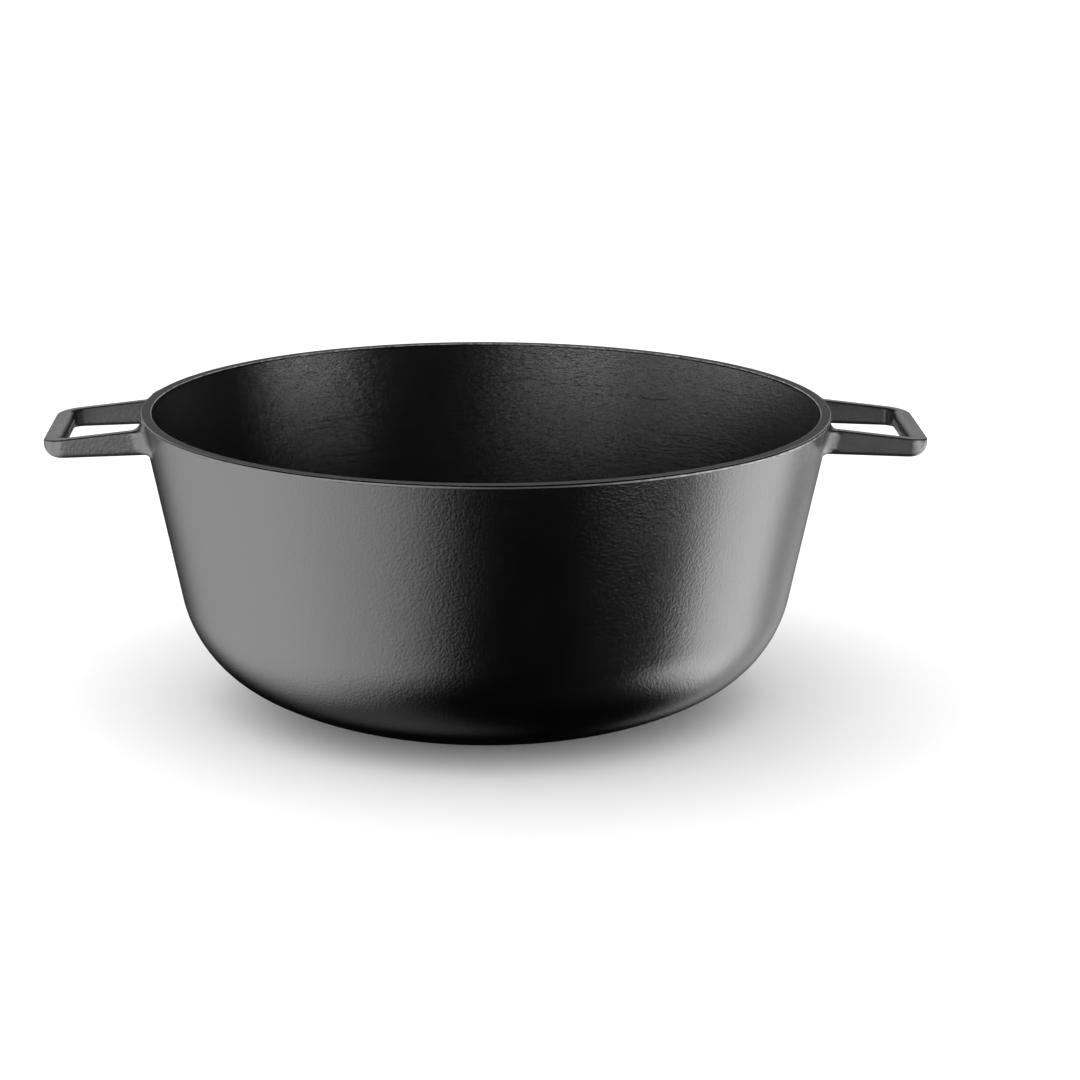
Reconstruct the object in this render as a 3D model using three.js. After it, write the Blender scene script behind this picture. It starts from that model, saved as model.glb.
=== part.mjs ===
// Cast iron dutch oven: a round, tapered pot with a wide rounded corner, a ground rim
// and two integral loop handles. The real pot is one casting. It is described here as
// four regions: the bowl, the ground rim band and the two handles.
// Millimetres, +Z up. The origin is the centre of the flat base, the pot's axis is Z,
// and the handles point along +X and -X.

import * as THREE from 'three';
import { LoftGeometry } from 'three/addons/geometries/LoftGeometry.js';

// Bowl
const POT_HEIGHT = 121;
const RIM_RADIUS = 140.7;
const WALL_THICKNESS = 4.3;
const WALL_LEAN = THREE.MathUtils.degToRad(11.66);
const UPPER_CORNER_RADIUS = 51.4;
const LOWER_CORNER_RADIUS = 104.3;
const BASE_EDGE_RADIUS = 8;
const LOWER_CORNER_ANGLE = THREE.MathUtils.degToRad(60);
const BASE_EDGE_ANGLE = THREE.MathUtils.degToRad(75);

// Ground rim band
const RIM_BAND_HEIGHT = 1;
const RIM_FLAT = 4;
const RIM_CHAMFER = 0.7;
const RIM_CHAMFER_HEIGHT = 0.6;
const RIM_INNER_EDGE = 0.15;

// Loop handles. Drops are measured down from the rim plane, and slopes outwards from it.
const HANDLE_REACH = 178.3;
const HANDLE_HALF_WIDTH = 32;
const SIDE_BAR_WIDTH = 4.4;
const TIP_BAR_WIDTH = 8;
const TIP_LEAN = 0.8;
const TOP_DROP = 3.4;
const TOP_SLOPE = 0.12;
const BOTTOM_DROP = 13.4;
const BOTTOM_SLOPE = 0.035;
const OUTER_CORNER_RADIUS = 9.5;
const INNER_CORNER_RADIUS = 4;
const TOP_EDGE_RADIUS = 0.7;
const BOTTOM_EDGE_RADIUS = 1.6;
const TIP_UNDERSIDE_RADIUS = 5.9;
const OUTER_ROOT_RADIUS = 7;
const INNER_ROOT_RADIUS = 5;
const UPRIGHT_ROOT_RADIUS = 2.2;

// Modelling
const JOIN_GAP = 0.3;
const POT_SEGMENTS = 96;
const STEP_ANGLE = THREE.MathUtils.degToRad(7.5);
const CORNER_STEPS = 8;
const EDGE_STEPS = 3;
const ROOT_STEPS = 4;

const QUARTER = Math.PI / 2;
const WALL_SLOPE = Math.tan(WALL_LEAN);

const coatedIron = new THREE.MeshStandardMaterial({
  color: 0x1c1c1d,
  roughness: 0.42,
  metalness: 0.1,
});

const groundIron = new THREE.MeshStandardMaterial({
  color: 0x4c4c4d,
  roughness: 0.35,
  metalness: 0.8,
});

// The outer surface's arcs, from the flat base up to the straight wall. An angle is that
// of the surface's normal below the horizontal.
const CORNER_ARCS = [
  { radius: BASE_EDGE_RADIUS, from: QUARTER, to: BASE_EDGE_ANGLE },
  { radius: LOWER_CORNER_RADIUS, from: BASE_EDGE_ANGLE, to: LOWER_CORNER_ANGLE },
  { radius: UPPER_CORNER_RADIUS, from: LOWER_CORNER_ANGLE, to: WALL_LEAN },
];

function wallRadius(z) {
  return RIM_RADIUS - (POT_HEIGHT - z) * WALL_SLOPE;
}

// The flat base ends where the arcs, followed down from the wall, turn level.
function baseRadius() {
  let run = 0;
  let rise = 0;
  for (const { radius, from, to } of CORNER_ARCS) {
    run += radius * (Math.cos(to) - Math.cos(from));
    rise += radius * (Math.sin(from) - Math.sin(to));
  }
  return wallRadius(rise) - run;
}

// Half of the bowl's outline, offset inwards by inset, from the axis up to height top.
function bowlOutline(inset, top) {
  const outline = [new THREE.Vector2(0, inset)];
  let centreR = baseRadius();
  let centreZ = 0;
  let previousRadius = 0;
  for (const { radius, from, to } of CORNER_ARCS) {
    centreR -= (radius - previousRadius) * Math.cos(from);
    centreZ += (radius - previousRadius) * Math.sin(from);
    previousRadius = radius;
    const reach = radius - inset;
    const steps = Math.ceil((from - to) / STEP_ANGLE);
    for (let i = from === QUARTER ? 0 : 1; i <= steps; i += 1) {
      const angle = from + ((to - from) * i) / steps;
      const r = centreR + reach * Math.cos(angle);
      const z = centreZ - reach * Math.sin(angle);
      outline.push(new THREE.Vector2(r, z));
    }
  }
  outline.push(new THREE.Vector2(wallRadius(top) - inset / Math.cos(WALL_LEAN), top));
  return outline;
}

function latheAboutZ(outline) {
  return new THREE.LatheGeometry(outline, POT_SEGMENTS).rotateX(QUARTER);
}

function makeBowl() {
  const top = POT_HEIGHT - RIM_BAND_HEIGHT - JOIN_GAP;
  const outside = bowlOutline(0, top);
  const inside = bowlOutline(WALL_THICKNESS, top).reverse();
  return latheAboutZ([...outside, ...inside]);
}

function makeRimBand() {
  const bottom = POT_HEIGHT - RIM_BAND_HEIGHT;
  const chamferZ = POT_HEIGHT - RIM_CHAMFER_HEIGHT;
  const outer = RIM_RADIUS - RIM_CHAMFER;
  const inner = outer - RIM_FLAT;
  return latheAboutZ([
    new THREE.Vector2(inner, bottom),
    new THREE.Vector2(wallRadius(bottom), bottom),
    new THREE.Vector2(wallRadius(chamferZ), chamferZ),
    new THREE.Vector2(outer, POT_HEIGHT),
    new THREE.Vector2(inner + RIM_INNER_EDGE, POT_HEIGHT),
    new THREE.Vector2(inner, POT_HEIGHT - RIM_INNER_EDGE),
    new THREE.Vector2(inner, bottom),
  ]);
}

function barTop(x) {
  return POT_HEIGHT - TOP_DROP - (x - RIM_RADIUS) * TOP_SLOPE;
}

function barBottom(x) {
  return POT_HEIGHT - BOTTOM_DROP - (x - RIM_RADIUS) * BOTTOM_SLOPE;
}

// The wall's x where a handle's root meets it, kept clear by the joining gap.
function rootX(y, z) {
  const radius = wallRadius(z) + JOIN_GAP;
  return Math.sqrt(radius * radius - y * y);
}

// The edge of a bar's section: a rectangle with a rounded edge at each corner. A point
// says how far it lies across the bar, from 0 at the loop's inside to the bar's width,
// how far up, and which way the surface faces there.
function barEdge(width, height, undersideRadius) {
  const corners = [
    { across: width, up: 0, radius: undersideRadius },
    { across: width, up: height, radius: TOP_EDGE_RADIUS },
    { across: 0, up: height, radius: TOP_EDGE_RADIUS },
    { across: 0, up: 0, radius: BOTTOM_EDGE_RADIUS },
  ];
  return corners.flatMap(({ across, up, radius }, index) => {
    const centreAcross = across === 0 ? radius : width - radius;
    const centreUp = up === 0 ? radius : height - radius;
    return Array.from({ length: EDGE_STEPS + 1 }, (_, step) => {
      const angle = (index - 1 + step / EDGE_STEPS) * QUARTER;
      return {
        across: centreAcross + radius * Math.cos(angle),
        up: centreUp + radius * Math.sin(angle),
        facingAcross: Math.cos(angle),
        facingUp: Math.sin(angle),
      };
    });
  });
}

// The section across the loop's corner on side -1 or 1, at a turn from 0, square to the
// side bar, to 1, square to the tip bar.
function cornerSection(side, turn) {
  const angle = side * QUARTER * (1 - turn);
  const direction = new THREE.Vector2(Math.cos(angle), Math.sin(angle));
  const insideX = HANDLE_REACH - TIP_BAR_WIDTH - INNER_CORNER_RADIUS;
  const insideY = side * (HANDLE_HALF_WIDTH - SIDE_BAR_WIDTH - INNER_CORNER_RADIUS);
  const outsideX = HANDLE_REACH - OUTER_CORNER_RADIUS;
  const outsideY = side * (HANDLE_HALF_WIDTH - OUTER_CORNER_RADIUS);
  const inside = new THREE.Vector2(insideX, insideY).addScaledVector(direction, INNER_CORNER_RADIUS);
  const outside = new THREE.Vector2(outsideX, outsideY).addScaledVector(direction, OUTER_CORNER_RADIUS);
  const width = inside.distanceTo(outside);
  const height = barTop(outside.x) - barBottom(outside.x);
  const share = Math.sin(turn * QUARTER) ** 2;
  const underside = THREE.MathUtils.lerp(BOTTOM_EDGE_RADIUS, TIP_UNDERSIDE_RADIUS, share);
  return barEdge(width, height, underside).map(({ across, up }) => {
    const lean = (TIP_LEAN * share * up * across) / (height * width);
    const plan = inside.clone().lerp(outside, (across - lean) / width);
    const bottom = barBottom(plan.x);
    return new THREE.Vector3(plan.x, plan.y, bottom + (up / height) * (barTop(plan.x) - bottom));
  });
}

// A section where a side bar flares into the wall. At a turn of 0 its surface runs along
// the bar, and at 1 along the wall.
function rootSection(side, turn) {
  const height = barTop(RIM_RADIUS) - barBottom(RIM_RADIUS);
  return barEdge(SIDE_BAR_WIDTH, height, BOTTOM_EDGE_RADIUS).map((point) => {
    const sideRadius = point.facingAcross > 0 ? OUTER_ROOT_RADIUS : INNER_ROOT_RADIUS;
    const radius = THREE.MathUtils.lerp(sideRadius, UPRIGHT_ROOT_RADIUS, Math.abs(point.facingUp));
    const spread = radius * (1 - Math.cos(turn * QUARTER));
    const standoff = radius * (1 - Math.sin(turn * QUARTER));
    const fromInside = point.across + point.facingAcross * spread;
    const y = side * (HANDLE_HALF_WIDTH - SIDE_BAR_WIDTH + fromInside);
    const roughX = rootX(y, barBottom(RIM_RADIUS) + point.up) + standoff;
    const bottom = barBottom(roughX);
    const level = bottom + (point.up / height) * (barTop(roughX) - bottom);
    const z = Math.min(level + point.facingUp * spread, POT_HEIGHT);
    return new THREE.Vector3(rootX(y, z) + standoff, y, z);
  });
}

// The end of a root, drawn in from its last section to a point on the wall.
function rootEnd(side, share) {
  const rim = rootSection(side, 1);
  const y = side * (HANDLE_HALF_WIDTH - SIDE_BAR_WIDTH / 2);
  const z = (barTop(RIM_RADIUS) + barBottom(RIM_RADIUS)) / 2;
  const centre = new THREE.Vector3(rootX(y, z), y, z);
  return rim.map((point) => {
    const drawn = point.lerp(centre, share);
    drawn.x = rootX(drawn.y, drawn.z);
    return drawn;
  });
}

// Half of the loop, on side -1 or 1, from the middle of its root to its corner.
function halfLoop(side) {
  const sections = [rootEnd(side, 1), rootEnd(side, 0.5)];
  for (let i = ROOT_STEPS; i >= 0; i -= 1) {
    sections.push(rootSection(side, i / ROOT_STEPS));
  }
  for (let i = 0; i <= CORNER_STEPS; i += 1) {
    sections.push(cornerSection(side, i / CORNER_STEPS));
  }
  return sections;
}

function makeHandle() {
  return new LoftGeometry([...halfLoop(1), ...halfLoop(-1).reverse()]);
}

function named(name, geometry, material) {
  const mesh = new THREE.Mesh(geometry, material);
  mesh.name = name;
  return mesh;
}

const handleGeometry = makeHandle();
const rightHandle = named('handle_right', handleGeometry, coatedIron);
const leftHandle = named('handle_left', handleGeometry, coatedIron);
leftHandle.rotation.z = Math.PI;

const dutchOven = new THREE.Group();
dutchOven.add(named('bowl', makeBowl(), coatedIron));
dutchOven.add(named('rim_band', makeRimBand(), groundIron));
dutchOven.add(rightHandle);
dutchOven.add(leftHandle);

export default dutchOven;
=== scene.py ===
import math

import bpy
from mathutils import Matrix, Vector, noise


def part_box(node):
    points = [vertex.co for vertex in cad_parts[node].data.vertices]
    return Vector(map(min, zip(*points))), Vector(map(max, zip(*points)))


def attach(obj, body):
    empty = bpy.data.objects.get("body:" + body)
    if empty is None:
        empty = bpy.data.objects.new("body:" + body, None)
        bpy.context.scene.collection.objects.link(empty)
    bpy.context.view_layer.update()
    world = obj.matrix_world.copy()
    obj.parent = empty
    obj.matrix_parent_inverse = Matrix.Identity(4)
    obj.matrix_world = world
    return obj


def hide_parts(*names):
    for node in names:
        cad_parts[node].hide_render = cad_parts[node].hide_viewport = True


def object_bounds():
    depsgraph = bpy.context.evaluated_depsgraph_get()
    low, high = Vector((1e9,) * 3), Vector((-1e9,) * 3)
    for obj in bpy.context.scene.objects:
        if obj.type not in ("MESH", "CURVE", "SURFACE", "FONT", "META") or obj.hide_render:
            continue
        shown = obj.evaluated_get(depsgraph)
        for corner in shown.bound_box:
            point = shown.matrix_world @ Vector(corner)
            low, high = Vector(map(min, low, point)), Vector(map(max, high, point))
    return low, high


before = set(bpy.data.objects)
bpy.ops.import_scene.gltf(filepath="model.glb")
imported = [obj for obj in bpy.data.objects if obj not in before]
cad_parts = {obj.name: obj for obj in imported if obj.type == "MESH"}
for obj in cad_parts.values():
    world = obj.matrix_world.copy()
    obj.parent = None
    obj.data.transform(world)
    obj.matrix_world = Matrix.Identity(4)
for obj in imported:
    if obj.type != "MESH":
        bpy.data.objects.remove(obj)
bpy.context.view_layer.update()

# A round cast iron pot with two loop handles, coated black, with a ground rim.
# Metres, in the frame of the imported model: +Z up, the handles along +X and -X.

# Sizes read from the frame
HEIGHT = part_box("rim_band")[1].z
RIM_BAND_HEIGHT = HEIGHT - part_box("rim_band")[0].z
FLOOR_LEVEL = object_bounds()[0].z

# Bowl, as in the part's own dimensions
RIM_RADIUS = 0.1407
WALL_THICKNESS = 0.0043
WALL_LEAN = math.radians(11.66)
WALL_SLOPE = math.tan(WALL_LEAN)
QUARTER = math.pi / 2
CORNER_ARCS = (  # radius, and the surface's angle below the horizontal at its start and end
    (0.0080, QUARTER, math.radians(75)),
    (0.1043, math.radians(75), math.radians(60)),
    (0.0514, math.radians(60), WALL_LEAN),
)

# Ground rim
RIM_FLAT = 0.0040
RIM_CHAMFER = 0.0007
RIM_CHAMFER_HEIGHT = 0.0006
RIM_LAND = 0.0006
RIM_EDGE_RADIUS = 0.00028
RIM_GROOVE = 0.00018
# How far below the land the groove starts and is deepest, as shares of the groove's depth
GROOVE_START, GROOVE_DEEPEST = 1.5, 0.3
# Rounding of the land's lower edge, as a share of the groove's depth and of the land's height
LAND_ROUNDING = 0.2

# Handles. Drops are measured down from the rim plane at the rim's radius, and the bars fall
# outwards from there by the slopes.
HANDLE_REACH = 0.17825
HANDLE_HALF_WIDTH = 0.0320
SIDE_BAR_WIDTH = 0.0044
TIP_BAR_WIDTH = 0.0080
TIP_LEAN = 0.0008
TOP_DROP, TOP_SLOPE = 0.0034, 0.12
BOTTOM_DROP, BOTTOM_SLOPE = 0.0134, 0.035
OUTER_CORNER_RADIUS = 0.0095
INNER_CORNER_RADIUS = 0.0040
TOP_EDGE_RADIUS = 0.0007
BOTTOM_EDGE_RADIUS = 0.0016
TIP_UNDERSIDE_RADIUS = 0.0059
TIP_INSIDE_RADIUS = 0.0034
OUTER_ROOT_RADIUS = 0.0070
INNER_ROOT_RADIUS = 0.0050
RIGHT_TOP_ROOT_RADIUS = 0.0032
LEFT_TOP_ROOT_RADIUS = 0.0055
BOTTOM_ROOT_RADIUS = 0.0022
ROOT_EMBED = 0.0002
# Height of the strip on the tip bar's lower inside edge that carries a painted reflection of the floor
PAINTED_REFLECTION_HEIGHT = 0.0042

# Relief of the casting: noise scales, heights, and the distances below the wall's top over
# which the relief grows. Both reliefs fade out in the lowest stretch above the base.
RIPPLE_SCALE, RIPPLE_HEIGHT, RIPPLE_START, RIPPLE_FULL = 90, 0.00008, 0.0012, 0.014
WAVE_SCALE, WAVE_HEIGHT, WAVE_START, WAVE_FULL = 120, 0.00002, 0.0005, 0.006
BASE_FADE = 0.003

# Mesh fineness
POT_SEGMENTS = 420
ROW_SPACING = 0.0021
BASE_ROW_SPACING = 0.0060
ROUNDING_STEPS = 8
INNER_EDGE_STEPS = 4


# ---------------------------------------------------------------- mesh helpers

def make_object(name, vertices, faces, materials):
    mesh = bpy.data.meshes.new(name)
    mesh.from_pydata([tuple(v) for v in vertices], [], faces)
    mesh.update()
    mesh.shade_smooth()
    obj = bpy.data.objects.new(name, mesh)
    bpy.context.scene.collection.objects.link(obj)
    for material in materials:
        mesh.materials.append(material)
    return obj


def add_to_frame(obj, node):
    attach(obj, "root")
    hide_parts(node)


def lerp(a, b, share):
    return a + (b - a) * share


def smoothstep(low, high, value):
    t = min(max((value - low) / (high - low), 0.0), 1.0)
    return t * t * (3 - 2 * t)


# ---------------------------------------------------------------- bowl

def wall_radius(z):
    return RIM_RADIUS - (HEIGHT - z) * WALL_SLOPE


def base_radius():
    run = sum(r * (math.cos(b) - math.cos(a)) for r, a, b in CORNER_ARCS)
    rise = sum(r * (math.sin(a) - math.sin(b)) for r, a, b in CORNER_ARCS)
    return wall_radius(rise) - run


def side_outline(inset, top):
    """(radius, height) points and outward normals of the bowl's side, offset inwards by inset,
    from the edge of the flat base up to the height top."""
    points = []
    centre_r, centre_z, previous = base_radius(), 0.0, 0.0
    for radius, start, end in CORNER_ARCS:
        centre_r -= (radius - previous) * math.cos(start)
        centre_z += (radius - previous) * math.sin(start)
        previous = radius
        reach = radius - inset
        steps = max(4, math.ceil(reach * (start - end) / ROW_SPACING))
        first = 0 if start == QUARTER else 1
        for i in range(first, steps + 1):
            angle = lerp(start, end, i / steps)
            normal = (math.cos(angle), -math.sin(angle))
            points.append(((centre_r + reach * normal[0], centre_z + reach * normal[1]), normal))
    (start_r, start_z), normal = points[-1]
    steps = math.ceil((top - start_z) / ROW_SPACING)
    for i in range(1, steps + 1):
        z = lerp(start_z, top, i / steps)
        points.append(((start_r + (z - start_z) * WALL_SLOPE, z), normal))
    return points


def flat_outline(radius, height, facing):
    """Points of a flat disc from near the axis out to, but without, its edge."""
    steps = math.ceil(radius / BASE_ROW_SPACING)
    return [((radius * i / steps, height), (0.0, facing)) for i in range(1, steps)]


def inside_relief(point, from_top):
    """Height of the cast ripples inside the bowl, as a length."""
    flattened = Vector((point.x, point.y, point.z * 3))
    ripples = noise.fractal(flattened * RIPPLE_SCALE, 1.0, 2.0, 3)
    return RIPPLE_HEIGHT * ripples * smoothstep(RIPPLE_START, RIPPLE_FULL, from_top)


def outside_relief(point, from_top):
    """Height of the faint waviness of the cast and coated outside, as a length."""
    waves = noise.fractal(point * WAVE_SCALE, 1.0, 2.0, 2)
    return WAVE_HEIGHT * waves * smoothstep(WAVE_START, WAVE_FULL, from_top)


def make_bowl(outside_material, inside_material):
    """The pot below its rim, as rings of vertices from the middle of the base, up the outside
    and down the inside to the middle of the floor."""
    top = HEIGHT - RIM_BAND_HEIGHT
    outside = flat_outline(base_radius(), 0.0, -1.0) + side_outline(0.0, top)
    inside = side_outline(WALL_THICKNESS, top)
    floor = flat_outline(inside[0][0][0], WALL_THICKNESS, -1.0)
    inside = list(reversed(floor + inside))
    rows = [(p, n, outside_relief, 1.0) for p, n in outside]
    rows += [(p, n, inside_relief, -1.0) for p, n in inside]

    vertices = []
    for (radius, z), (normal_r, normal_z), relief, side in rows:
        for k in range(POT_SEGMENTS):
            angle = 2 * math.pi * k / POT_SEGMENTS
            direction = Vector((math.cos(angle), math.sin(angle), 0))
            normal = (direction * normal_r + Vector((0, 0, normal_z))) * side
            point = direction * radius + Vector((0, 0, z))
            lift = relief(point, top - z) * smoothstep(0.0, BASE_FADE, z)
            vertices.append(point + normal * lift)
    faces = []
    for row in range(len(rows) - 1):
        for k in range(POT_SEGMENTS):
            a = row * POT_SEGMENTS + k
            b = row * POT_SEGMENTS + (k + 1) % POT_SEGMENTS
            faces.append((a, b, b + POT_SEGMENTS, a + POT_SEGMENTS))
    for row, height, turned in ((0, 0.0, False), (len(rows) - 1, WALL_THICKNESS, True)):
        centre = len(vertices)
        vertices.append(Vector((0, 0, height)))
        for k in range(POT_SEGMENTS):
            a = row * POT_SEGMENTS + k
            b = row * POT_SEGMENTS + (k + 1) % POT_SEGMENTS
            faces.append((a, b, centre) if turned else (b, a, centre))

    bowl = make_object("bowl_casting", vertices, faces, (outside_material, inside_material))
    first_inside = (len(outside) - 1) * POT_SEGMENTS
    for polygon in bowl.data.polygons:
        polygon.material_index = 1 if min(polygon.vertices) >= first_inside else 0
    sharpen(bowl, math.radians(40))
    return bowl


def sharpen(obj, angle):
    obj.data.set_sharp_from_angle(angle=angle)


# ---------------------------------------------------------------- rim

# Material slots of the rim. The land's slot carries a painted highlight, and the inner edge's slot is
# partly a painted highlight.
GROUND, WORN_HIGHLIT, COATED, PAINTED_HIGHLIGHT_LAND = range(4)


def arc(centre, radius, start, end, steps):
    """(radius, height) points along an arc."""
    return [
        (centre[0] + radius * math.cos(lerp(start, end, i / steps)),
         centre[1] + radius * math.sin(lerp(start, end, i / steps)))
        for i in range(steps + 1)
    ]


def make_rim(materials):
    """The ring on top of the wall. Its outside has a groove under a land with a painted highlight,
    brightest towards +X, and a rounded edge up to the ground flat, which ends in a narrowly rounded
    inner edge, partly worn bare and partly painted lighter as a highlight."""
    bottom = HEIGHT - RIM_BAND_HEIGHT
    chamfer_z = HEIGHT - RIM_CHAMFER_HEIGHT
    land_z = chamfer_z - RIM_LAND
    widest = wall_radius(chamfer_z)
    inner = RIM_RADIUS - RIM_CHAMFER - RIM_FLAT
    groove_start = land_z - RIM_GROOVE * GROOVE_START
    groove = (wall_radius(land_z) - RIM_GROOVE, land_z - RIM_GROOVE * GROOVE_DEEPEST)
    wall_top = (wall_radius(groove_start), groove_start)
    coated = [(inner, bottom), (wall_radius(bottom), bottom), wall_top, groove]
    land = [
        (widest - RIM_GROOVE * LAND_ROUNDING, land_z),
        (widest, lerp(land_z, chamfer_z, LAND_ROUNDING)),
    ]
    rounding = []
    for i in range(ROUNDING_STEPS + 1):
        angle = i / ROUNDING_STEPS * QUARTER
        radius = widest - RIM_CHAMFER * (1 - math.cos(angle))
        rounding.append((radius, chamfer_z + RIM_CHAMFER_HEIGHT * math.sin(angle)))
    edge = RIM_EDGE_RADIUS
    inner_edge = arc((inner + edge, HEIGHT - edge), edge, QUARTER, math.pi, INNER_EDGE_STEPS)
    outline = coated + land + rounding + inner_edge
    slots = [COATED] * len(coated) + [PAINTED_HIGHLIGHT_LAND] * len(land) + [COATED] * ROUNDING_STEPS
    slots += [GROUND] + [WORN_HIGHLIT] * INNER_EDGE_STEPS + [COATED]
    count = len(outline)
    vertices = []
    for k in range(POT_SEGMENTS):
        angle = 2 * math.pi * k / POT_SEGMENTS
        vertices += [Vector((r * math.cos(angle), r * math.sin(angle), z)) for r, z in outline]
    faces = []
    for k in range(POT_SEGMENTS):
        here, there = k * count, (k + 1) % POT_SEGMENTS * count
        for i in range(count):
            j = (i + 1) % count
            faces.append((here + i, there + i, there + j, here + j))
    rim = make_object("ground_rim", vertices, faces, materials)
    for polygon in rim.data.polygons:
        polygon.material_index = slots[polygon.index % count]
    sharpen(rim, math.radians(35))
    return rim


# ---------------------------------------------------------------- handles

def bar_top(x):
    return HEIGHT - TOP_DROP - (x - RIM_RADIUS) * TOP_SLOPE


def bar_bottom(x):
    return HEIGHT - BOTTOM_DROP - (x - RIM_RADIUS) * BOTTOM_SLOPE


def root_x(y, z):
    radius = wall_radius(z) - ROOT_EMBED
    return math.sqrt(radius * radius - y * y)


def bar_edge(width, height, underside_radius, inside_radius):
    """Points round a bar's section, a rectangle with a rounded edge at each corner, each as
    (across, up, facing across, facing up). Across runs from the loop's inside outwards."""
    corners = (
        (width, 0.0, underside_radius),
        (width, height, TOP_EDGE_RADIUS),
        (0.0, height, inside_radius),
        (0.0, 0.0, BOTTOM_EDGE_RADIUS),
    )
    edge_steps, side_steps = 8, 6
    points = []
    for index, (across, up, radius) in enumerate(corners):
        centre_across = across + radius if across == 0 else across - radius
        centre_up = up + radius if up == 0 else up - radius
        for step in range(edge_steps + 1):
            angle = (index - 1 + step / edge_steps) * QUARTER
            facing = (math.cos(angle), math.sin(angle))
            points.append((centre_across + radius * facing[0], centre_up + radius * facing[1], *facing))
    filled = []
    for index, point in enumerate(points):
        filled.append(point)
        if index % (edge_steps + 1) == edge_steps:
            after = points[(index + 1) % len(points)]
            for step in range(1, side_steps):
                filled.append(tuple(lerp(p, q, step / side_steps) for p, q in zip(point, after)))
    return filled


def corner_section(side, turn):
    """The section across the loop's corner, from square to the side bar at a turn of 0 to
    square to the tip bar at 1."""
    angle = side * QUARTER * (1 - turn)
    direction = Vector((math.cos(angle), math.sin(angle)))
    inside = Vector((HANDLE_REACH - TIP_BAR_WIDTH - INNER_CORNER_RADIUS,
                     side * (HANDLE_HALF_WIDTH - SIDE_BAR_WIDTH - INNER_CORNER_RADIUS)))
    inside += direction * INNER_CORNER_RADIUS
    outside = Vector((HANDLE_REACH - OUTER_CORNER_RADIUS,
                      side * (HANDLE_HALF_WIDTH - OUTER_CORNER_RADIUS)))
    outside += direction * OUTER_CORNER_RADIUS
    width = (outside - inside).length
    height = bar_top(outside.x) - bar_bottom(outside.x)
    share = math.sin(turn * QUARTER) ** 2
    underside = lerp(BOTTOM_EDGE_RADIUS, TIP_UNDERSIDE_RADIUS, share)
    inside_top = lerp(TOP_EDGE_RADIUS, TIP_INSIDE_RADIUS, share)
    section = []
    for across, up, _, _ in bar_edge(width, height, underside, inside_top):
        lean = TIP_LEAN * share * up * across / (height * width)
        plan = inside.lerp(outside, (across - lean) / width)
        bottom = bar_bottom(plan.x)
        section.append(Vector((plan.x, plan.y, bottom + up / height * (bar_top(plan.x) - bottom))))
    return section


def root_section(side, turn, top_root_radius):
    """A section where a side bar flares into the wall: along the bar at a turn of 0, and
    along the wall at 1."""
    height = bar_top(RIM_RADIUS) - bar_bottom(RIM_RADIUS)
    section = []
    edge = bar_edge(SIDE_BAR_WIDTH, height, BOTTOM_EDGE_RADIUS, TOP_EDGE_RADIUS)
    for across, up, facing_across, facing_up in edge:
        side_radius = OUTER_ROOT_RADIUS if facing_across > 0 else INNER_ROOT_RADIUS
        upright_radius = top_root_radius if facing_up > 0 else BOTTOM_ROOT_RADIUS
        radius = lerp(side_radius, upright_radius, abs(facing_up))
        spread = radius * (1 - math.cos(turn * QUARTER))
        standoff = radius * (1 - math.sin(turn * QUARTER))
        y = side * (HANDLE_HALF_WIDTH - SIDE_BAR_WIDTH + across + facing_across * spread)
        rough_x = root_x(y, bar_bottom(RIM_RADIUS) + up) + standoff
        bottom = bar_bottom(rough_x)
        level = bottom + up / height * (bar_top(rough_x) - bottom)
        z = min(level + facing_up * spread, HEIGHT - ROOT_EMBED)
        section.append(Vector((root_x(y, z) + standoff, y, z)))
    return section


def half_loop(side, top_root_radius):
    """Sections from the wall along one side bar and round the corner to the tip bar."""
    root_steps, bar_steps, corner_steps = 14, 10, 16
    turns = [i / root_steps for i in range(root_steps, -1, -1)]
    sections = [root_section(side, turn, top_root_radius) for turn in turns]
    corner = corner_section(side, 0.0)
    bar_start = sections[-1]
    for i in range(1, bar_steps):
        sections.append([p.lerp(q, i / bar_steps) for p, q in zip(bar_start, corner)])
    sections += [corner_section(side, i / corner_steps) for i in range(corner_steps + 1)]
    return sections


def painted_reflection_strip(section):
    """Numbers of the faces round the tip bar's lower inside edge, which get a painted reflection of the
    floor.
    """
    inside = min(point.x for point in section)
    lowest = min(point.z for point in section)
    strip = []
    for i, point in enumerate(section):
        after = section[(i + 1) % len(section)]
        middle = point.lerp(after, 0.5)
        if middle.x < inside + BOTTOM_EDGE_RADIUS and middle.z < lowest + PAINTED_REFLECTION_HEIGHT:
            strip.append(i)
    return strip


def make_handle(name, turn, top_root_radius, coating, reflection_material):
    """A loop of two side bars and a tip bar, made towards +X and turned about the pot's axis."""
    tip_steps = 20
    right, left = half_loop(1, top_root_radius), half_loop(-1, top_root_radius)
    middle = [
        [p.lerp(q, i / tip_steps) for p, q in zip(right[-1], left[-1])]
        for i in range(1, tip_steps)
    ]
    sections = right + middle + left[::-1]
    count = len(sections[0])
    spin = Matrix.Rotation(turn, 3, "Z")
    vertices = [spin @ point for section in sections for point in section]
    faces = []
    for s in range(len(sections) - 1):
        for i in range(count):
            j = (i + 1) % count
            a, b = s * count, (s + 1) * count
            faces.append((a + i, a + j, b + j, b + i))
    for section, turned in ((0, False), (len(sections) - 1, True)):
        ring = [section * count + i for i in range(count)]
        faces.append(tuple(ring if turned else ring[::-1]))
    handle = make_object(name, vertices, faces, (coating, reflection_material))
    # These faces carry a painted reflection of the floor.
    reflection_faces = painted_reflection_strip(right[-1])
    for s in range(len(right) - 1, len(right) + tip_steps - 1):
        for i in reflection_faces:
            handle.data.polygons[s * count + i].material_index = 1
    sharpen(handle, math.radians(50))
    return handle


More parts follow.
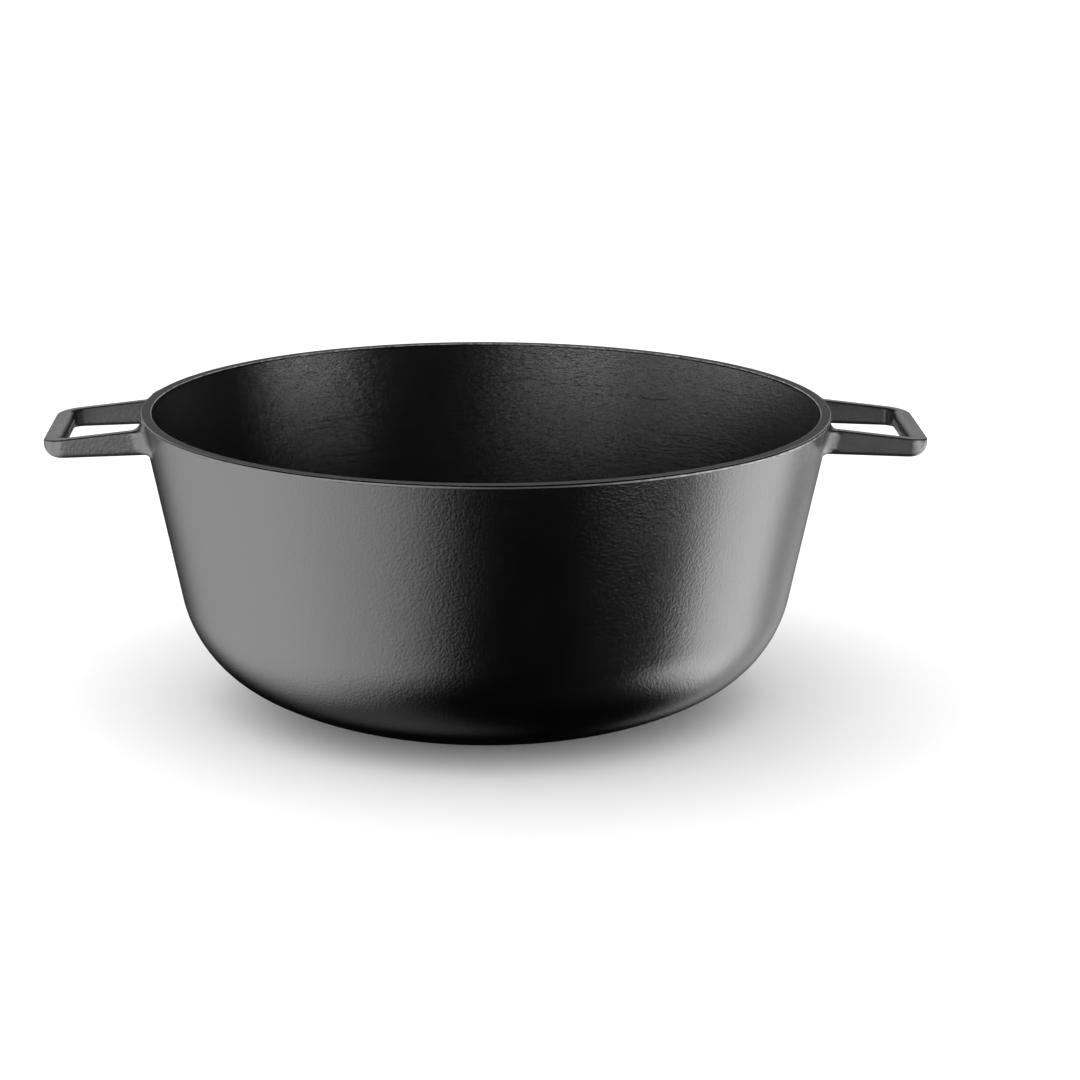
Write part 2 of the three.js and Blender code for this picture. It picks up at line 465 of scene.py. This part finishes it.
# ---------------------------------------------------------------- materials

COATING_IOR = 2.0


def new_material(name):
    material = bpy.data.materials.new(name)
    material.use_nodes = True
    tree = material.node_tree
    shader = tree.nodes["Principled BSDF"]
    return material, tree, shader


def add_node(tree, kind, **settings):
    node = tree.nodes.new(kind)
    for key, value in settings.items():
        if key in node.inputs:
            node.inputs[key].default_value = value
        else:
            setattr(node, key, value)
    return node


def noise_at(tree, vector, scale, detail, roughness=0.5):
    texture = add_node(tree, "ShaderNodeTexNoise", Scale=scale, Detail=detail, Roughness=roughness)
    tree.links.new(vector, texture.inputs["Vector"])
    return texture.outputs["Fac"]


def object_position(tree, squeeze=(1, 1, 1)):
    """Position on the piece. A pattern gets finer along each axis by the squeeze."""
    coordinates = tree.nodes.new("ShaderNodeTexCoord")
    mapping = add_node(tree, "ShaderNodeMapping", Scale=squeeze)
    tree.links.new(coordinates.outputs["Object"], mapping.inputs["Vector"])
    return mapping.outputs["Vector"]


def ramp(tree, value, low, high, from_low=0.0, from_high=1.0):
    node = tree.nodes.new("ShaderNodeMapRange")
    node.inputs["From Min"].default_value = from_low
    node.inputs["From Max"].default_value = from_high
    node.inputs["To Min"].default_value = low
    node.inputs["To Max"].default_value = high
    tree.links.new(value, node.inputs["Value"])
    return node.outputs["Result"]


def grey_mix(tree, share, first, second):
    node = tree.nodes.new("ShaderNodeMix")
    node.data_type = "RGBA"
    node.inputs["A"].default_value = (first, first, first, 1)
    node.inputs["B"].default_value = (second, second, second, 1)
    tree.links.new(share, node.inputs["Factor"])
    return node.outputs["Result"]


def bump(tree, height, distance, strength, before=None):
    node = add_node(tree, "ShaderNodeBump", Strength=strength, Distance=distance)
    tree.links.new(height, node.inputs["Height"])
    if before is not None:
        tree.links.new(before, node.inputs["Normal"])
    return node.outputs["Normal"]


def folds_at(tree, vector):
    """Sparse, long and low folds in the casting: 0 on the crest line of each, 1 away from it."""
    contour = add_node(tree, "ShaderNodeMath", operation="SUBTRACT")
    tree.links.new(noise_at(tree, vector, 24, 1), contour.inputs[0])
    contour.inputs[1].default_value = 0.5
    distance = add_node(tree, "ShaderNodeMath", operation="ABSOLUTE")
    tree.links.new(contour.outputs[0], distance.inputs[0])
    line = ramp(tree, distance.outputs[0], 0.0, 1.0, 0.0, 0.03)
    gaps = ramp(tree, noise_at(tree, vector, 17, 1), 0.0, 1.0, 0.40, 0.47)
    fold = add_node(tree, "ShaderNodeMath", operation="MAXIMUM")
    tree.links.new(line, fold.inputs[0])
    tree.links.new(gaps, fold.inputs[1])
    return fold.outputs[0]


def make_coating(name, shades, roughness, relief, squeeze=(1, 1, 1), folded=False):
    """Baked black coating over cast iron, mottled between two shades. The relief is a list of
    (noise scale, height) from coarse ripples to fine grain, made finer by the squeeze."""
    material, tree, shader = new_material(name)
    position = object_position(tree)
    shader.inputs["IOR"].default_value = COATING_IOR
    mottle = noise_at(tree, position, 60, 4)
    tree.links.new(grey_mix(tree, mottle, *shades), shader.inputs["Base Color"])
    spread = 0.02
    patches = noise_at(tree, position, 25, 3)
    sheen = ramp(tree, patches, roughness - spread, roughness + spread, 0.3, 0.7)
    tree.links.new(sheen, shader.inputs["Roughness"])
    surface = None
    if folded:
        surface = bump(tree, folds_at(tree, object_position(tree, (1, 1, 6))), 0.00005, 1.0)
    squeezed = object_position(tree, squeeze)
    for scale, height in relief:
        surface = bump(tree, noise_at(tree, squeezed, scale, 2), height, 1.0, surface)
    tree.links.new(surface, shader.inputs["Normal"])
    return material


def make_ground_iron():
    """Bare ground iron, with fine circular grinding lines about the pot's axis."""
    material, tree, shader = new_material("ground_iron")
    position = object_position(tree)
    flat = tree.nodes.new("ShaderNodeVectorMath")
    flat.operation = "MULTIPLY"
    flat.inputs[1].default_value = (1, 1, 0)
    tree.links.new(position, flat.inputs[0])
    length = tree.nodes.new("ShaderNodeVectorMath")
    length.operation = "LENGTH"
    tree.links.new(flat.outputs["Vector"], length.inputs[0])
    rings = tree.nodes.new("ShaderNodeTexNoise")
    rings.noise_dimensions = "1D"
    rings.inputs["Scale"].default_value = 6000
    tree.links.new(length.outputs["Value"], rings.inputs["W"])
    shader.inputs["IOR"].default_value = 1.22
    blotches = noise_at(tree, position, 300, 3)
    tree.links.new(grey_mix(tree, blotches, 0.012, 0.030), shader.inputs["Base Color"])
    tree.links.new(ramp(tree, rings.outputs["Fac"], 0.42, 0.56, 0.3, 0.7), shader.inputs["Roughness"])
    tree.links.new(bump(tree, rings.outputs["Fac"], 0.00002, 0.6), shader.inputs["Normal"])
    return material


def make_worn_highlit_edge():
    """Bright iron on the ground rim's inner edge, in uneven patches: partly bare worn iron, partly a
    painted highlight along the edge.
    """
    material, tree, shader = new_material("worn_highlit_edge")
    position = object_position(tree)
    bright_share = ramp(tree, noise_at(tree, position, 450, 3), 0.0, 1.0, 0.40, 0.60)
    # The bright shade is partly worn iron and partly a painted highlight on the edge.
    tree.links.new(grey_mix(tree, bright_share, 0.16, 0.46), shader.inputs["Base Color"])
    shader.inputs["Metallic"].default_value = 0.5
    tree.links.new(ramp(tree, bright_share, 0.50, 0.35), shader.inputs["Roughness"])
    return material


def make_painted_edge_light(name, lit_shade, squeeze=(1, 1, 1), lit_towards_x=False):
    """Coating painted lighter in uneven patches along an edge, standing in for the light that edge
    catches.
    The lit shade is the shade of the brightest patches. With lit_towards_x the painted light is
    brightest towards +X."""
    material, tree, shader = new_material(name)
    patches = noise_at(tree, object_position(tree, squeeze), 350, 4, 0.6)
    bright_share = ramp(tree, patches, 0.0, 1.0, 0.40, 0.62)
    # Painted light: the bright patches fade out away from +X, the side where the light falls on the
    # edge.
    if lit_towards_x:
        parts = tree.nodes.new("ShaderNodeSeparateXYZ")
        tree.links.new(object_position(tree), parts.inputs["Vector"])
        lit_side_share = add_node(tree, "ShaderNodeMath", operation="MULTIPLY")
        tree.links.new(bright_share, lit_side_share.inputs[0])
        tree.links.new(ramp(tree, parts.outputs["X"], 0.0, 1.0, 0.02, 0.09), lit_side_share.inputs[1])
        bright_share = lit_side_share.outputs[0]
    # The bright patches are painted light on the coating; the rest keeps the coating's dim shade.
    unlit_shade = lit_shade * 0.08
    tree.links.new(grey_mix(tree, bright_share, unlit_shade, lit_shade), shader.inputs["Base Color"])
    tree.links.new(ramp(tree, bright_share, 0.35, 0.50), shader.inputs["Roughness"])
    shader.inputs["IOR"].default_value = COATING_IOR
    grain = noise_at(tree, object_position(tree, (1, 1, 3)), 900, 2)
    tree.links.new(bump(tree, grain, 0.00006, 1.0), shader.inputs["Normal"])
    return material


def make_floor_material():
    material, tree, shader = new_material("studio_floor")
    position = object_position(tree)
    paper = noise_at(tree, position, 40, 3)
    tree.links.new(grey_mix(tree, paper, 0.93, 0.95), shader.inputs["Base Color"])
    shader.inputs["Roughness"].default_value = 0.9
    return material


# ---------------------------------------------------------------- studio

def make_floor(material):
    """A white table just under the base. The pot doesn't mirror it, and light from below its
    level still reaches the pot."""
    half, gap = 1.7, 0.0002
    level = FLOOR_LEVEL - gap
    corners = [(-half, -half, level), (half, -half, level), (half, half, level), (-half, half, level)]
    floor = make_object("studio_floor", corners, [(0, 1, 2, 3)], (material,))
    floor.visible_glossy = False
    floor.visible_shadow = False


def add_panel(name, away, distance, size, brightness, spread, glossy):
    """An area light facing the pot's middle, with the brightness as its radiance straight on."""
    light = bpy.data.lights.new(name, "AREA")
    light.shape = "RECTANGLE"
    light.size, light.size_y = size
    light.spread = math.radians(spread)
    half_spread = light.spread / 2
    focus = 1.0
    if spread < 180:
        focus = math.tan(half_spread) / (math.tan(half_spread) - half_spread)
    light.energy = brightness * math.pi * size[0] * size[1] / focus
    lamp = bpy.data.objects.new(name, light)
    bpy.context.scene.collection.objects.link(lamp)
    lamp.location = Vector((0, 0, HEIGHT / 2)) + away * distance
    lamp.rotation_euler = away.to_track_quat("Z", "Y").to_euler()
    lamp.visible_camera = False
    lamp.visible_glossy = glossy


def add_softbox(name, azimuth, elevation, distance, size, brightness,
                spread=180, feather=0.0, glossy=True):
    """An oblong softbox facing the pot's middle, size in metres as (width, height). The azimuth
    turns from +Y towards +X. Brightness is the radiance of its middle, seen straight on. It
    fades over a margin of one feather either side of its edge, as a stack of nested panels, and
    a spread below 180 degrees lets it fade towards its ends."""
    a, e = math.radians(azimuth), math.radians(elevation)
    away = Vector((math.sin(a) * math.cos(e), math.cos(a) * math.cos(e), math.sin(e)))
    panels = 5 if feather else 1
    panel_gap = 0.01
    for i in range(panels):
        margin = feather * (2 * i / max(panels - 1, 1) - 1) * 2
        panel = (size[0] + margin, size[1] + margin)
        add_panel(name, away, distance + panel_gap * i, panel, brightness / panels, spread, glossy)


def make_lights():
    """Softboxes round the pot, many of them below the table's level, where the pot mirrors them.
    The last two aren't mirrored, and mainly light the table."""
    add_softbox("left_softbox", -99, -21, 1.4, (5.0, 2.11), 2.2, spread=132, feather=0.35)
    add_softbox("left_low_softbox", -62, -64, 1.5, (1.1, 0.9), 0.17, feather=0.15)
    add_softbox("left_front_softbox", -150, 4, 1.5, (1.0, 0.45), 2.5, feather=0.2)
    add_softbox("left_back_softbox", -34, -20, 1.5, (0.5, 0.35), 0.17, feather=0.1)
    add_softbox("right_softbox", 78, -27, 1.5, (1.02, 1.13), 2.7, feather=0.14)
    add_softbox("right_ramp_softbox", 116, -42, 1.5, (0.75, 1.0), 0.03, feather=0.2)
    add_softbox("right_front_softbox", 111, 2, 1.5, (0.75, 0.42), 4.3, feather=0.2)
    add_softbox("left_strip_softbox", -140, -12, 1.5, (0.9, 0.30), 0.9)
    add_softbox("right_strip_softbox", 120, -15, 1.5, (1.3, 0.42), 2.2)
    add_softbox("right_back_softbox", 40, -30, 1.5, (0.75, 0.8), 0.7, feather=0.12)
    add_softbox("right_edge_softbox", 27, -20, 1.5, (0.45, 0.40), 0.25, feather=0.1)
    add_softbox("right_side_strip_softbox", 58, -11, 1.5, (1.0, 0.25), 1.8)
    add_softbox("front_low_softbox", 180, -11, 1.5, (1.5, 0.36), 0.8)
    add_softbox("back_softbox", 0, 25, 1.8, (3.0, 1.0), 0.8)
    add_softbox("top_softbox", -80, 50, 1.8, (2.0, 2.0), 0.6, glossy=False)
    add_softbox("fill_softbox", 158, 62, 1.8, (1.4, 1.4), 0.80, glossy=False)


def make_backdrop():
    """A white surround, which lights the floor softly and isn't mirrored in the pot."""
    world = bpy.data.worlds.new("studio")
    bpy.context.scene.world = world
    world.use_nodes = True
    world.node_tree.nodes["Background"].inputs["Color"].default_value = (1, 1, 1, 1)
    world.node_tree.nodes["Background"].inputs["Strength"].default_value = 1.02
    world.cycles_visibility.glossy = False
    bpy.context.scene.view_settings.view_transform = "Standard"


def make_camera():
    """The camera in front of the pot and above it, at -Y, turned a little to the right."""
    location = (-0.0209, -1.2716, 0.3903)
    heading = math.radians(1.94)
    pitch = math.radians(14.36)
    roll = math.radians(0.34)
    data = bpy.data.cameras.new("camera")
    data.sensor_width = 36
    data.lens = 106
    camera = bpy.data.objects.new("camera", data)
    bpy.context.scene.collection.objects.link(camera)
    turn = Matrix.Rotation(-heading, 4, "Z") @ Matrix.Rotation(QUARTER - pitch, 4, "X")
    turn = turn @ Matrix.Rotation(roll, 4, "Z")
    camera.matrix_world = Matrix.Translation(location) @ turn
    bpy.context.scene.camera = camera


make_camera()

outside_relief_scales = [(950, 0.00010), (2600, 0.00004)]
inside_relief_scales = [(250, 0.00018), (520, 0.00013), (1000, 0.00005)]
handle_relief_scales = [(650, 0.00012), (1500, 0.00006)]
# The three coatings are one finish. Their shade pairs differ as painted light: the outside's is painted
# darker, and the handles' and the inside's are painted lighter.
outside_coating = make_coating("coated_iron", (0.0001, 0.0008), 0.19, outside_relief_scales)
handle_coating = make_coating("coated_iron_handles", (0.004, 0.020), 0.29, handle_relief_scales)
inside_coating = make_coating(
    "coated_iron_inside", (0.003, 0.007), 0.25, inside_relief_scales, squeeze=(1, 1, 3), folded=True)
# The rim's land gets a painted highlight, brightest towards +X.
rim_land_painted_highlight = make_painted_edge_light("rim_land_painted_highlight", 0.30, lit_towards_x=True)
# A painted reflection of the floor along the handle tips' lower inside edge.
tip_edge_painted_reflection = make_painted_edge_light("tip_edge_painted_reflection", 0.26, squeeze=(1.6, 0.15, 1.6))

add_to_frame(make_bowl(outside_coating, inside_coating), "bowl")
rim = make_rim((make_ground_iron(), make_worn_highlit_edge(), outside_coating, rim_land_painted_highlight))
add_to_frame(rim, "rim_band")
handles = (
    ("right_loop_handle", "handle_right", 0.0, RIGHT_TOP_ROOT_RADIUS),
    ("left_loop_handle", "handle_left", math.pi, LEFT_TOP_ROOT_RADIUS),
)
for name, node, turn, top_root_radius in handles:
    handle = make_handle(name, turn, top_root_radius, handle_coating, tip_edge_painted_reflection)
    add_to_frame(handle, node)
make_floor(make_floor_material())
make_lights()
make_backdrop()
